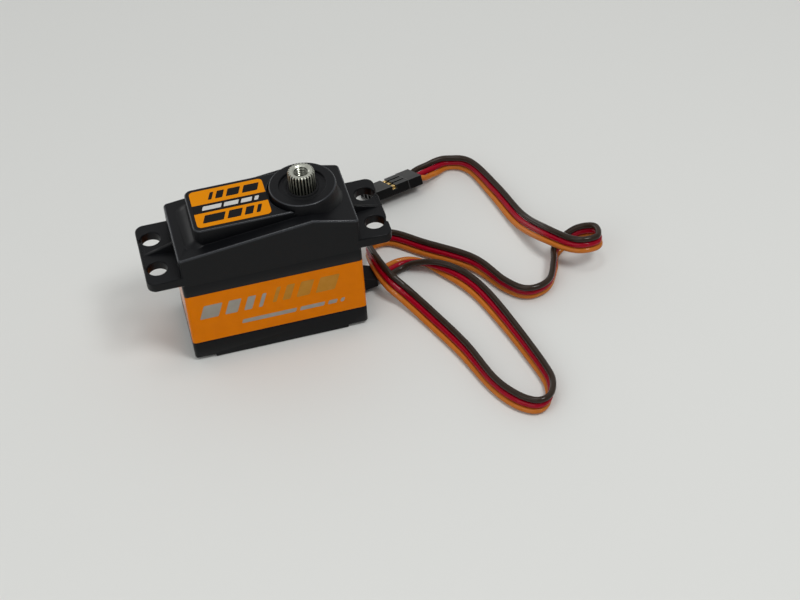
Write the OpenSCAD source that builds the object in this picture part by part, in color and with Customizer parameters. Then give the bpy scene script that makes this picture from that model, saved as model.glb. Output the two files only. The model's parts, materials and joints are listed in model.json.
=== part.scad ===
// Standard-size digital servo motor with a metal gear train, a splined output shaft
// and a flat three-wire lead that ends in a three-way connector.
// Millimetres. The origin is on the surface the case stands on, under its middle.
// +X points to the output shaft's end of the case and +Z up along the output shaft.

/* [Case] */
// Length of the case without its mounting tabs
case_l = 40.3; // [40:0.1:41]
// Width of the case
case_w = 20.2; // [20:0.1:21]
// Thickness of the side walls
wall = 1.5; // [1.2:0.1:1.6]
// Radius of the case's upright corners
corner_r = 0.8; // [0.6:0.1:1.4]
// Height of the seam between the bottom cover and the middle case
base_h = 5.3; // [5.1:0.1:5.4]
// Height of the seam between the middle case and the top cover
seam_h = 22.8; // [22.7:0.1:23]
// How far the ends of the base are raised above its middle pad
end_relief = 0.7; // [0.4:0.1:0.8]

/* [Top cover] */
// Height of the roof at the left end
roof_left = 30.4; // [30.2:0.1:31]
// Height of the roof's ridge, over the output shaft
roof_ridge = 33.9; // [33.5:0.1:34]
// Height of the roof at the right end
roof_right = 31.3; // [31.1:0.1:32]
// Height of the flat deck over the gears
deck_h = 35.2; // [35:0.1:35.5]
// Width of the deck
deck_w = 14.3; // [14:0.1:15]
// Place of the deck's left end along X
deck_left = -15.1; // [-15.5:0.1:-14.6]
// Height of the round boss around the output shaft
boss_h = 36.4; // [36.2:0.1:36.6]
// Radius of the boss
boss_r = 7.45; // [7.3:0.05:7.6]
// Size of the bevel along the roof's edges
edge_bevel = 0.6; // [0.3:0.1:0.8]

/* [Mounting tabs] */
// Length over both tabs
tab_span = 55; // [54.6:0.1:56]
// Thickness of a tab
tab_t = 2.4; // [2.2:0.1:2.5]
// Height of a tab's underside
tab_z = 23.2; // [23:0.1:23.4]
// Distance between the holes along the case
hole_dx = 49; // [48.8:0.1:49.4]
// Distance between the holes across the case
hole_dy = 10; // [9.8:0.1:10.4]
// Radius of the mounting holes
hole_r = 2.2; // [2:0.1:2.3]
// Width of the slot from a hole to the tab's outer edge
slot_w = 0.9; // [0.6:0.1:1.2]
// Width of the rib in the middle of a tab
rib_w = 2; // [1.6:0.1:2.4]

/* [Output shaft] */
// Place of the output shaft along X
out_x = 10.1; // [10:0.1:10.2]
// Height of the shaft's top
shaft_top = 40.1; // [39.8:0.1:40.4]
// Number of spline teeth
spline_n = 25; // [23:1:25]
// Outer radius of the spline
spline_r = 2.96; // [2.9:0.01:2.96]
// Radius of the threaded hole for the horn screw
screw_hole_r = 1.25; // [1.2:0.05:1.3]

/* [Gear train] */
// Play between meshed teeth
backlash = 0.1; // [0.08:0.02:0.14]
// Radius of the pin that the first and third gears turn on
pin_r = 0.75; // [0.7:0.05:0.8]
// Running clearance between a gear and its pin or shaft
running_gap = 0.03; // [0.02:0.01:0.05]

/* [Lead and connector] */
// Thickness of the flat three-wire lead, and width of each wire
lead_t = 1.45; // [1.3:0.05:1.5]
// Length of the connector housing
plug_l = 14; // [13.5:0.1:14.5]
// Width of the connector housing
plug_w = 7.7; // [7.5:0.1:7.9]
// Thickness of the connector housing
plug_t = 2.5; // [2.4:0.1:2.6]
// Place of the connector's wire end along X
plug_x = 43.2; // [43:0.1:43.5]
// Place of the connector's wire end along Y
plug_y = 33.6; // [33.4:0.1:33.8]
// Turn of the connector on the surface it lies on
plug_turn = 14; // [12:1:16]
// Lean of the connector about its length, its front edge up
plug_lean = 24; // [20:1:26]

/* [Hidden] */
$fn = 64;
FRAME_NODES = ["top_cover", "middle_case", "bottom_cover", "wrap_label", "top_label",
    "case_screws", "output_seal"];
DRIVE_NODES = ["upper_bearing_outer", "upper_bearing_balls", "upper_bearing_inner",
    "lower_bearing_outer", "lower_bearing_balls", "lower_bearing_inner", "output_shaft",
    "output_gear", "output_spacer", "third_gear", "second_gear", "first_gear", "gear_pin",
    "gear_washers"];
MOTOR_NODES = ["motor_pinion", "motor_shaft", "motor_coil", "motor_magnet", "motor_can",
    "motor_end_cap", "motor_bush", "motor_terminals", "motor_screws"];
ELECTRIC_NODES = ["potentiometer_body", "potentiometer_shaft", "potentiometer_pins",
    "circuit_board", "board_chips", "board_capacitor", "inner_wires", "lead_grommet",
    "servo_lead", "connector_housing", "connector_terminals"];

// Colours
black_plastic = [0.12, 0.125, 0.135];
label_orange = [0.82, 0.49, 0.03];
steel = [0.62, 0.62, 0.6];
brass = [0.8, 0.66, 0.35];
gold = [0.85, 0.7, 0.35];
rubber = [0.07, 0.07, 0.075];
board_green = [0.05, 0.3, 0.15];

// Inside of the case
inner_l = case_l - 2 * wall - 0.3;
inner_w = case_w - 2 * wall;
floor_z = 1.4;
deck_under = 20.2;
deck_over = 21.6;
ceiling_low = 28.9;
ceiling = 30.1;
ceiling_step_x = -8.8;
label_t = 0.1;
label_gap = 0.02;
label_z = [5.5, 19.6];
label_stop_y = 8.6;
screw_x = case_l / 2 - 2.25;
screw_y = case_w / 2 - 2.25;
screw_r = 0.95;
head_r = 1.7;
head_seat_z = 2.2;
column_r = 2.2;
screw_top = 27;

// Gear train: the motor, the gear pin and the output shaft stand in one line.
// Teeth of the motor pinion, the first wheel, and so on to the output gear
teeth = [12, 52, 15, 39, 16, 32, 11, 25];
// Tooth module of each of the four meshes
modules = [0.3, 0.4, 0.45, 0.6];
motor_mesh = (teeth[0] + teeth[1]) * modules[0] / 2;
pin_mesh = (teeth[6] + teeth[7]) * modules[3] / 2;
pin_x = out_x - pin_mesh;
motor_x = pin_x - motor_mesh;
pin_z = [19.4, 31.4];
first_z = [21.9, 23.2, 24.9];
second_z = [23.5, 24.8, 26.9];
third_z = [24.95, 26.7, 29.8];
output_gear_z = [27.2, 29.7, 31.3];
shaft_r = 3;
journal_r = 2;
shoulder_z = 27;
shaft_bottom = 18.2;
spline_z = 35.75;
upper_bearing_z = 31.4;
lower_bearing_z = 18.6;
bearing_t = 3;
upper_bearing_r = 5;
lower_bearing_r = 4;
opening_r = 3.6;
pot_shaft_r = 1.2;

// Motor
motor_r = 8;
motor_z = 4.2;
motor_wall = 0.8;
motor_shaft_r = 0.75;
motor_screw_y = 5.2;
board_top = 2.2;

lead_w = 3 * lead_t;
// Lead: where it leaves the case, and the points it follows to the connector. The fourth
// value is its turn about its own line: 90 lies flat, 0 stands on edge with the brown wire
// up, and between them the brown wire leans to the right of the way the lead runs.
exit_x = 24;
exit_y = 2;
exit_z = 2.95;
plug_z = plug_w / 2 * sin(plug_lean) + plug_t / 2 * cos(plug_lean);
lead_route = [
    [exit_x, exit_y, exit_z, 90], [27, 3.5, 1.4, 90], [32, 5.5, 1.1, 83], [36, 4.1, 1.9, 55],
    [40.5, 0, 2.3, -5], [44.5, -5, 2.1, -38], [47.5, -12, 1.9, -40], [50.5, -25, 2.2, -27],
    [53, -38.5, 2.2, -20], [53, -43.5, 2.25, -22], [51.3, -47.2, 2.25, -10],
    [48.2, -48.1, 2.25, 10], [44.5, -45, 2.25, 18], [41.2, -38.5, 2.2, 18],
    [38, -26.5, 2.1, 33], [33.3, -13.7, 2, 42], [30, -6.8, 2.9, 40], [27, -2.9, 5.1, 32],
    [25.4, 2.8, 6, 20], [25.3, 9.5, 4.4, 5], [27.7, 13.9, 2.5, -8], [32.2, 13.9, 2.2, -18],
    [38.5, 8.2, 2.2, -22], [48, -0.3, 2.2, -18], [53, -9.8, 2.25, -2],
    [57.3, -13.9, 2.25, 8], [62.5, -12.7, 2.25, 8], [65.8, -7.2, 2.3, -5],
    [68, -2.2, 2.4, -8], [73.2, -0.7, 4.6, -5], [77.1, -3.3, 6.6, 0], [76.3, -7.5, 7.2, 10],
    [71, -7.3, 7.4, 13], [66, -0.5, 6.3, 30], [63, 10.5, 2.5, 45], [60.5, 22.5, 2.2, 32],
    [57.3, 33.5, 2.3, 12], [52.5, 36.7, 2.25, 0], [47.5, 35.3, 2.5, 60],
    [plug_x, plug_y, plug_z, 90 + plug_lean]];

// ---- Shapes that repeat ----

// Outline of a rectangle with round corners
module round_rect(l, w, r) {
    square([l - 2 * r, w], center = true);
    square([l, w - 2 * r], center = true);
    for (sx = [-1, 1], sy = [-1, 1])
        translate([sx * (l / 2 - r), sy * (w / 2 - r)]) circle(r);
}

// Upright block with round corners from z0 to z1
module column(l, w, r, z0, z1) {
    translate([0, 0, z0]) linear_extrude(z1 - z0) round_rect(l, w, r);
}

// Upright round bar, from z0 to z1, at a place along X and Y
module bar(x, y, r, z0, z1) {
    translate([x, y, z0]) cylinder(r = r, h = z1 - z0);
}

// Upright ring
module ring(x, y, r_in, r_out, z0, z1) {
    difference() {
        bar(x, y, r_out, z0, z1);
        bar(x, y, r_in, z0 - 1, z1 + 1);
    }
}

module at_case_screws() {
    for (sx = [-1, 1], sy = [-1, 1]) translate([sx * screw_x, sy * screw_y, 0]) children();
}

// Involute of a circle: the angle it has turned by at a pressure angle
function involute(a) = tan(a) * 180 / PI - a;
// Half of a tooth's angle at radius q
function half_tooth(n, m, q) =
    let (r = n * m / 2, rb = r * cos(20))
    90 / n - backlash / (4 * r) * 180 / PI + involute(20) - involute(acos(min(1, rb / q)));
// One side of a tooth as [radius, half angle], root to tip
function flank(n, m) =
    let (r = n * m / 2, root = r - 1.25 * m, tip = r + 0.85 * m)
    [[root, half_tooth(n, m, max(root, r * cos(20)))], [r, half_tooth(n, m, r)],
        [tip, half_tooth(n, m, tip)]];
function gear_outline(n, m, phase) = [
    for (i = [0:n - 1], side = [-1, 1], k = [0:2])
        let (f = flank(n, m)[side < 0 ? k : 2 - k], a = phase + 360 * i / n + side * f[1])
        f[0] * [cos(a), sin(a)]];

// Toothed wheel; phase is the angle of its first tooth
module wheel(x, n, m, phase, z0, z1) {
    translate([x, 0, z0]) linear_extrude(z1 - z0) polygon(gear_outline(n, m, phase));
}

// Ball groove around an upright axis
module groove(x, r, ball_r, z) {
    translate([x, 0, z]) rotate_extrude() translate([r, 0]) circle(ball_r + 0.05);
}

// Radii inside a bearing: the two races stand either side of the balls' circle
function ball_circle(r_in, r_out) = (r_in + r_out) / 2;
function ball_size(r_in, r_out) = (r_out - r_in) * 0.33;
function race_gap(r_in, r_out) = (r_out - r_in) * 0.2;

module race_outer(r_in, r_out, z0) {
    difference() {
        ring(out_x, 0, ball_circle(r_in, r_out) + race_gap(r_in, r_out), r_out, z0, z0 + bearing_t);
        groove(out_x, ball_circle(r_in, r_out), ball_size(r_in, r_out), z0 + bearing_t / 2);
    }
}

module race_inner(r_in, r_out, z0) {
    difference() {
        ring(out_x, 0, r_in, ball_circle(r_in, r_out) - race_gap(r_in, r_out), z0, z0 + bearing_t);
        groove(out_x, ball_circle(r_in, r_out), ball_size(r_in, r_out), z0 + bearing_t / 2);
    }
}

module balls(r_in, r_out, z0, count) {
    for (i = [0:count - 1])
        translate([out_x, 0, z0 + bearing_t / 2]) rotate(360 * i / count)
            translate([ball_circle(r_in, r_out), 0, 0]) sphere(ball_size(r_in, r_out), $fn = 24);
}

// ---- Case ----

// Side view of the top cover's roof, pushed through the width of the case
module roof_prism() {
    translate([0, case_w / 2 + 1, 0]) rotate([90, 0, 0]) linear_extrude(case_w + 2)
        polygon([[-case_l, seam_h], [case_l, seam_h], [case_l / 2, roof_right],
            [out_x, roof_ridge], [-case_l / 2, roof_left]]);
}

// Bar that takes the bevel off a roof edge between two points of the side view
module roof_bevel(from, to) {
    run = to - from;
    for (sy = [-1, 1])
        translate([from[0], sy * case_w / 2, from[1]]) rotate([0, -atan2(run[1], run[0]), 0])
            rotate([45, 0, 0]) translate([-2, -edge_bevel / 2, -edge_bevel / 2])
                cube([norm(run) + 4, edge_bevel, edge_bevel]);
}

module end_bevel(x, z) {
    translate([x, 0, z]) rotate([0, 45, 0])
        cube([edge_bevel, case_w + 2, edge_bevel], center = true);
}

module roof_body() {
    difference() {
        intersection() {
            column(case_l, case_w, corner_r, seam_h, roof_ridge + 1);
            roof_prism();
        }
        roof_bevel([-case_l / 2, roof_left], [out_x, roof_ridge]);
        roof_bevel([out_x, roof_ridge], [case_l / 2, roof_right]);
        end_bevel(-case_l / 2, roof_left);
        end_bevel(case_l / 2, roof_right);
    }
}

// Flat deck over the gears, with round left corners and a sloping foot
module deck() {
    deck_r = 1.7;
    foot = 1.3;
    groove_z = 34.3;
    difference() {
        union() {
            translate([0, 0, ceiling]) linear_extrude(deck_h - ceiling) {
                translate([deck_left + deck_r, -deck_w / 2])
                    square([out_x - deck_left - deck_r, deck_w]);
                translate([deck_left, deck_r - deck_w / 2]) square([deck_r, deck_w - 2 * deck_r]);
                for (sy = [-1, 1])
                    translate([deck_left + deck_r, sy * (deck_w / 2 - deck_r)]) circle(deck_r);
            }
            translate([deck_left, deck_w / 2 - deck_r, 0]) rotate([90, 0, 0])
                linear_extrude(deck_w - 2 * deck_r)
                    polygon([[-foot, ceiling], [0.5, ceiling], [0.5, roof_left + 2 * foot],
                        [0, roof_left + 2 * foot], [-foot, roof_left + 0.4]]);
        }
        bar(out_x, 0, boss_r + 0.5, groove_z, deck_h + 1);
    }
}

// Round boss around the output shaft, flaring out to the roof
module boss() {
    translate([out_x, 0, 0]) rotate_extrude()
        polygon([[0, ceiling], [9.4, ceiling], [9.4, 32.4], [8.7, 32.8], [8.1, 33.5],
            [boss_r + 0.1, 34.5], [boss_r, boss_h - 0.3], [boss_r - 0.3, boss_h], [0, boss_h]]);
}

// One mounting tab with two open-ended holes, on the right; the left one is its mirror
module tab() {
    tab_r = 2;
    inner_x = case_l / 2 - wall;
    outer_x = tab_span / 2;
    difference() {
        translate([0, 0, tab_z]) linear_extrude(tab_t) difference() {
            union() {
                translate([inner_x, -case_w / 2]) square([outer_x - tab_r - inner_x, case_w]);
                translate([inner_x, tab_r - case_w / 2])
                    square([outer_x - inner_x, case_w - 2 * tab_r]);
                for (sy = [-1, 1])
                    translate([outer_x - tab_r, sy * (case_w / 2 - tab_r)]) circle(tab_r);
            }
            for (sy = [-1, 1]) translate([hole_dx / 2, sy * hole_dy / 2]) {
                circle(hole_r);
                translate([0, -slot_w / 2]) square([outer_x, slot_w]);
            }
        }
    }
    translate([0, rib_w / 2, tab_z + tab_t]) rotate([90, 0, 0]) linear_extrude(rib_w)
        polygon([[inner_x, -0.5], [outer_x - 0.7, -0.5], [outer_x - 0.7, 0],
            [case_l / 2, 2], [inner_x, 2]]);
}

module top_cover() {
    recess_r = 5.2;
    recess_z = 35.8;
    color(black_plastic) difference() {
        union() {
            roof_body();
            deck();
            boss();
            tab();
            mirror([1, 0, 0]) tab();
        }
        difference() {
            union() {
                column(inner_l, inner_w, 0.5, seam_h - 1, ceiling_low);
                translate([ceiling_step_x, -inner_w / 2, seam_h])
                    cube([inner_l / 2 - ceiling_step_x, inner_w, ceiling - seam_h]);
            }
            at_case_screws() bar(0, 0, column_r, seam_h - 2, ceiling_low + 1);
        }
        at_case_screws() bar(0, 0, screw_r + 0.03, seam_h - 1, screw_top + 0.2);
        bar(pin_x, 0, pin_r, ceiling - 1, pin_z[1]);
        bar(out_x, 0, upper_bearing_r, ceiling - 1, upper_bearing_z + bearing_t);
        bar(out_x, 0, opening_r, ceiling, boss_h + 1);
        bar(out_x, 0, recess_r, recess_z, boss_h + 1);
    }
}

module middle_case() {
    bearing_hub_r = 5;
    pin_hub_r = 1.5;
    color(black_plastic) difference() {
        union() {
            difference() {
                column(case_l, case_w, corner_r, base_h, seam_h);
                column(inner_l, inner_w, 0.5, base_h - 1, deck_under);
                column(inner_l, inner_w, 0.5, deck_over, seam_h + 1);
            }
            at_case_screws() bar(0, 0, column_r, base_h, seam_h);
            bar(out_x, 0, bearing_hub_r, 17.8, deck_over);
            bar(pin_x, 0, pin_hub_r, pin_z[0] - 0.6, deck_over);
        }
        label_band(label_t + label_gap);
        at_case_screws() bar(0, 0, screw_r + 0.1, base_h - 1, seam_h + 1);
        bar(out_x, 0, lower_bearing_r, lower_bearing_z, deck_over + 1);
        bar(out_x, 0, 2.4, 17, lower_bearing_z + 1);
        bar(pin_x, 0, pin_r, pin_z[0], deck_over + 1);
        bar(motor_x, 0, 3.1, deck_under - 1, deck_over + 1);
        for (sy = [-1, 1]) bar(motor_x, sy * motor_screw_y, 0.9, deck_under - 1, deck_over + 1);
    }
}

// Opening in the base's right wall that the grommet's neck fills
neck_w = 5.2;

module bottom_cover() {
    pad_l = 31;
    color(black_plastic) difference() {
        union() {
            difference() {
                column(case_l, case_w, corner_r, 0, base_h);
                column(inner_l, inner_w, 0.5, floor_z, base_h + 1);
            }
            at_case_screws() bar(0, 0, column_r, end_relief, base_h);
        }
        for (sx = [-1, 1])
            translate([sx * (pad_l / 2 + case_l / 2), 0, 0])
                cube([case_l, case_w + 1, 2 * end_relief], center = true);
        at_case_screws() {
            bar(0, 0, head_r + 0.1, -1, head_seat_z);
            bar(0, 0, screw_r + 0.1, 0, base_h + 1);
        }
        translate([inner_l / 2 - 0.5, exit_y - neck_w / 2, floor_z]) cube([3, neck_w, base_h]);
    }
}

// Band around the front and both ends of the middle case, as deep as the given thickness
module label_band(t) {
    difference() {
        column(case_l, case_w, corner_r, label_z[0], label_z[1]);
        column(case_l - 2 * t, case_w - 2 * t, corner_r - t, 0, seam_h);
        translate([-case_l, label_stop_y, 0]) cube([2 * case_l, case_w, seam_h]);
    }
}

// Printed film that lies flush in a shallow recess
module wrap_label() {
    color(label_orange) label_band(label_t);
}

module top_label() {
    label_x = [-14.1, 2];
    label_w = 12.2;
    color(label_orange) translate([(label_x[0] + label_x[1]) / 2, 0, 0])
        column(label_x[1] - label_x[0], label_w, 1, deck_h, deck_h + label_t);
}

module case_screws() {
    color(steel) at_case_screws() difference() {
        union() {
            bar(0, 0, head_r, 1, head_seat_z);
            bar(0, 0, screw_r, head_seat_z - 0.5, screw_top);
        }
        for (turn = [0, 90]) rotate(turn) cube([1.8, 0.4, 3.4], center = true);
    }
}

module output_seal() {
    color(rubber) ring(out_x, 0, shaft_r + 0.04, opening_r, 34.6, 35.7);
}

// ---- Bearings, shaft and gears ----

module upper_bearing_outer() {
    color(steel) race_outer(shaft_r, upper_bearing_r, upper_bearing_z);
}

module upper_bearing_inner() {
    color(steel) race_inner(shaft_r, upper_bearing_r, upper_bearing_z);
}

module upper_bearing_balls() {
    color(steel) balls(shaft_r, upper_bearing_r, upper_bearing_z, 9);
}

module lower_bearing_outer() {
    color(steel) race_outer(journal_r, lower_bearing_r, lower_bearing_z);
}

module lower_bearing_inner() {
    color(steel) race_inner(journal_r, lower_bearing_r, lower_bearing_z);
}

module lower_bearing_balls() {
    color(steel) balls(journal_r, lower_bearing_r, lower_bearing_z, 7);
}

// Spline outline: straight-sided teeth with flat tops
function spline_outline() = [
    for (i = [0:spline_n - 1], k = [-3, -1.4, 1.4, 3])
        let (r = abs(k) == 3 ? spline_r - 0.36 : spline_r, a = 360 * i / spline_n + k * 45 / spline_n)
        r * [cos(a), sin(a)]];

module output_shaft() {
    chamfer = 0.3;
    color(steel) difference() {
        union() {
            bar(out_x, 0, journal_r, shaft_bottom, shoulder_z);
            bar(out_x, 0, shaft_r, shoulder_z, spline_z);
            intersection() {
                translate([out_x, 0, spline_z]) linear_extrude(shaft_top - spline_z)
                    polygon(spline_outline());
                translate([out_x, 0, 0]) rotate_extrude()
                    polygon([[0, spline_z - 1], [spline_r + 0.1, spline_z - 1],
                        [spline_r + 0.1, shaft_top - chamfer - 0.1],
                        [spline_r - chamfer, shaft_top], [0, shaft_top]]);
            }
        }
        bar(out_x, 0, pot_shaft_r, shaft_bottom - 1, 22.7);
        bar(out_x, 0, screw_hole_r, 32, shaft_top + 1);
        translate([out_x, 0, shaft_top - 0.35])
            cylinder(r1 = screw_hole_r, r2 = screw_hole_r + 0.4, h = 0.4);
    }
}

module output_gear() {
    color(steel) difference() {
        union() {
            wheel(out_x, teeth[7], modules[3], 180 + 180 / teeth[7],
                output_gear_z[0], output_gear_z[1]);
            bar(out_x, 0, 4.2, output_gear_z[1], output_gear_z[2]);
        }
        bar(out_x, 0, shaft_r, output_gear_z[0] - 1, output_gear_z[2] + 1);
    }
}

module output_spacer() {
    color(steel) ring(out_x, 0, journal_r, 2.5, lower_bearing_z + bearing_t, second_z[0] - 0.1);
}

// Wheel and pinion in one piece, turning on a pin or shaft
module compound_gear(x, z, wheel_i, wheel_phase, pinion_phase, bore_r) {
    color(brass) difference() {
        union() {
            wheel(x, teeth[wheel_i], modules[(wheel_i - 1) / 2], wheel_phase, z[0], z[1]);
            wheel(x, teeth[wheel_i + 1], modules[(wheel_i + 1) / 2], pinion_phase, z[1], z[2]);
        }
        bar(x, 0, bore_r + running_gap, z[0] - 1, z[2] + 1);
    }
}

module first_gear() {
    compound_gear(pin_x, first_z, 1, 180 + 180 / teeth[1], 0, pin_r);
}

module second_gear() {
    compound_gear(out_x, second_z, 3, 180 + 180 / teeth[3], 180, journal_r);
}

module third_gear() {
    compound_gear(pin_x, third_z, 5, 180 / teeth[5], 0, pin_r);
}

module gear_pin() {
    color(steel) bar(pin_x, 0, pin_r, pin_z[0], pin_z[1]);
}

module gear_washers() {
    color(steel) {
        ring(pin_x, 0, pin_r + 0.02, 1.6, deck_over, first_z[0] - 0.05);
        ring(pin_x, 0, pin_r + 0.02, 1.6, third_z[2] + 0.05, ceiling);
    }
}

// ---- Motor ----

module motor_pinion() {
    color(brass) difference() {
        wheel(motor_x, teeth[0], modules[0], 0, 21.8, 23.4);
        bar(motor_x, 0, motor_shaft_r, 21, 24);
    }
}

module motor_shaft() {
    color(steel) bar(motor_x, 0, motor_shaft_r, 3.6, 23.7);
}

// Self-supporting winding: a thin cup on a disc at its lower end
module motor_coil() {
    color([0.72, 0.4, 0.2]) difference() {
        bar(motor_x, 0, 6.4, 6.2, 18.6);
        bar(motor_x, 0, 5.7, 7, 19);
        bar(motor_x, 0, motor_shaft_r, 5, 8);
    }
}

module motor_magnet() {
    color([0.35, 0.35, 0.37]) ring(motor_x, 0, 1.2, 5.2, 7.6, deck_under - motor_wall);
}

module motor_can() {
    color(steel) difference() {
        bar(motor_x, 0, motor_r, motor_z, deck_under);
        bar(motor_x, 0, motor_r - motor_wall, motor_z - 1, deck_under - motor_wall);
        bar(motor_x, 0, 2, motor_z, deck_under + 1);
        for (sy = [-1, 1]) bar(motor_x, sy * motor_screw_y, 0.82, 19, deck_under + 1);
    }
}

module motor_end_cap() {
    color(rubber) ring(motor_x, 0, motor_shaft_r + 0.05, motor_r - motor_wall, motor_z, 5.4);
}

module motor_bush() {
    color(brass) difference() {
        union() {
            bar(motor_x, 0, 2, deck_under - motor_wall, deck_under);
            bar(motor_x, 0, 3, deck_under, deck_over - 0.2);
        }
        bar(motor_x, 0, motor_shaft_r + running_gap, 19, deck_over);
    }
}

module motor_terminals() {
    color(gold) for (sy = [-1, 1])
        translate([motor_x, sy * 4.5, (motor_z + board_top) / 2])
            cube([1.6, 0.5, motor_z - board_top], center = true);
}

module motor_screws() {
    color(steel) for (sy = [-1, 1]) {
        bar(motor_x, sy * motor_screw_y, 0.8, 19.5, deck_over);
        bar(motor_x, sy * motor_screw_y, 1.5, deck_over, deck_over + 0.9);
    }
}

// ---- Electrical parts ----

module potentiometer_body() {
    color([0.2, 0.3, 0.45]) difference() {
        bar(out_x, 0, 5.5, 9, 17.7);
        bar(out_x, 0, pot_shaft_r + 0.05, 10.5, 18);
    }
}

module potentiometer_shaft() {
    color(steel) bar(out_x, 0, pot_shaft_r, 10.8, 22.5);
}

module potentiometer_pins() {
    color(gold) for (y = [-2, 0, 2]) translate([out_x - 4.3, y - 0.3, board_top])
        cube([0.6, 0.6, 9 - board_top]);
}

module circuit_board() {
    color(board_green) translate([-15.2, -8.3, floor_z]) cube([30.4, 16.6, board_top - floor_z]);
}

module board_chips() {
    color(rubber) {
        translate([-1, -6.5, board_top]) cube([5, 5, 0.9]);
        for (x = [6, 10.5], y = [-7.6, 4.6]) translate([x, y, board_top]) cube([3, 3, 1]);
    }
}

module board_capacitor() {
    color([0.15, 0.15, 0.2]) bar(0.8, 5, 2.4, board_top, 8.8);
}

// Where the lead's wires are soldered to the board
wire_start = 12.5;

module inner_wires() {
    color([0.6, 0.1, 0.1]) for (i = [-1, 0, 1])
        translate([wire_start, exit_y + i * lead_t, exit_z]) rotate([0, 90, 0])
            cylinder(r = lead_t / 2, h = exit_x - wire_start);
}

// Rubber boot: a flange inside the wall, a neck in it and a tapered nose outside
module lead_grommet() {
    color(rubber) difference() {
        union() {
            translate([inner_l / 2 - 0.8, exit_y - 3.1, floor_z + 0.05])
                cube([0.8, 6.2, base_h - floor_z - 0.1]);
            translate([inner_l / 2, exit_y - neck_w / 2, floor_z])
                cube([(case_l - inner_l) / 2, neck_w, base_h - floor_z]);
            hull() {
                translate([case_l / 2, exit_y - 3, 0.95]) cube([0.8, 6, 4.1]);
                translate([exit_x - 0.5, exit_y - 2.5, 1.9]) cube([0.5, 5, 2.1]);
            }
        }
        translate([inner_l / 2 - 2, exit_y - lead_t, exit_z - lead_t / 2])
            cube([9, 2 * lead_t, lead_t]);
        for (i = [-1, 1])
            translate([inner_l / 2 - 2, exit_y + i * lead_t, exit_z]) rotate([0, 90, 0])
                cylinder(r = lead_t / 2, h = 9);
    }
}

// Smooth curve through the route's points: u counts along them, 0 at the exit
function route_at(u) =
    let (n = len(lead_route) - 1, i = min(floor(u), n - 1), t = u - i,
        p0 = lead_route[max(i - 1, 0)], p1 = lead_route[i], p2 = lead_route[i + 1],
        p3 = lead_route[min(i + 2, n)])
    0.5 * (2 * p1 + (p2 - p0) * t + (2 * p0 - 5 * p1 + 4 * p2 - p3) * t * t
        + (3 * p1 - p0 - 3 * p2 + p3) * t * t * t);
function place(v) = [v[0], v[1], v[2]];
function unit(v) = v / norm(v);
// Direction of travel; it leaves the boot along X and enters the connector along its length
function heading(u) =
    u <= 0 ? [1, 0, 0]
    : u >= len(lead_route) - 1 ? [-cos(plug_turn), -sin(plug_turn), 0]
    : unit(place(route_at(u + 0.02) - route_at(u - 0.02)));
// Corners of the lead's section, as [across the width, across the thickness]
lead_section = [for (c = [[1, 0.5], [0.82, 1], [-0.82, 1], [-1, 0.5], [-1, -0.5], [-0.82, -1],
    [0.82, -1], [1, -0.5]]) [c[0] * lead_w / 2, c[1] * lead_t / 2]];
function lead_ring(u) =
    let (point = route_at(u), d = heading(u), side = unit(cross(d, [0, 0, 1])),
        up = cross(side, d), w = cos(point[3]) * up + sin(point[3]) * side, t = cross(d, w))
    [for (c = lead_section) place(point) + c[0] * w + c[1] * t];

module servo_lead() {
    steps = 2;
    sides = len(lead_section);
    rings = (len(lead_route) - 1) * steps + 1;
    points = [for (k = [0:rings - 1]) each lead_ring(k / steps)];
    skin = [for (k = [0:rings - 2], s = [0:sides - 1], half = [0, 1])
        let (a = k * sides + s, b = k * sides + (s + 1) % sides)
        half == 0 ? [a, b, b + sides] : [a, b + sides, a + sides]];
    start_face = [for (s = [0:sides - 1]) sides - 1 - s];
    end_face = [for (s = [0:sides - 1]) (rings - 1) * sides + s];
    color([0.7, 0.12, 0.1]) polyhedron(points, concat(skin, [start_face, end_face]));
}

// Puts a shape drawn with its wire end at the origin and its length along -X in its place
module in_plug_place() {
    translate([plug_x, plug_y, plug_z]) rotate([0, 0, plug_turn]) rotate([-plug_lean, 0, 0])
        children();
}

way_pitch = 2.54;
cavity_w = 1.5;

module connector_housing() {
    block_l = 3.8;
    window_l = 4.3;
    step = 0.2;
    color(black_plastic) in_plug_place() difference() {
        union() {
            translate([-block_l, -plug_w / 2, -plug_t / 2]) cube([block_l, plug_w, plug_t]);
            translate([-plug_l, step - plug_w / 2, -plug_t / 2])
                cube([plug_l - block_l, plug_w - 2 * step, plug_t]);
        }
        for (i = [-1, 0, 1]) translate([0, i * way_pitch, 0]) {
            translate([-plug_l - 1, -cavity_w / 2, -cavity_w / 2])
                cube([plug_l - 0.2, cavity_w, cavity_w]);
            difference() {
                translate([-block_l - window_l, -cavity_w / 2 - 0.3, 0])
                    cube([window_l, cavity_w + 0.6, plug_t]);
                translate([-block_l - window_l + 1, -0.55, plug_t / 2 - 0.45])
                    cube([window_l, 1.1, 0.45]);
            }
        }
    }
}

module connector_terminals() {
    terminal_w = 1.3;
    color(gold) in_plug_place() for (i = [-1, 0, 1])
        translate([2 - plug_l, i * way_pitch - terminal_w / 2, -terminal_w / 2])
            cube([plug_l - 4, terminal_w, terminal_w - 0.2]);
}

// ---- One line for each node ----

top_cover();
middle_case();
bottom_cover();
wrap_label();
top_label();
case_screws();
output_seal();
upper_bearing_outer();
upper_bearing_balls();
upper_bearing_inner();
lower_bearing_outer();
lower_bearing_balls();
lower_bearing_inner();
output_shaft();
output_gear();
output_spacer();
third_gear();
second_gear();
first_gear();
gear_pin();
gear_washers();
motor_pinion();
motor_shaft();
motor_coil();
motor_magnet();
motor_can();
motor_end_cap();
motor_bush();
motor_terminals();
motor_screws();
potentiometer_body();
potentiometer_shaft();
potentiometer_pins();
circuit_board();
board_chips();
board_capacitor();
inner_wires();
lead_grommet();
servo_lead();
connector_housing();
connector_terminals();
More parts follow.
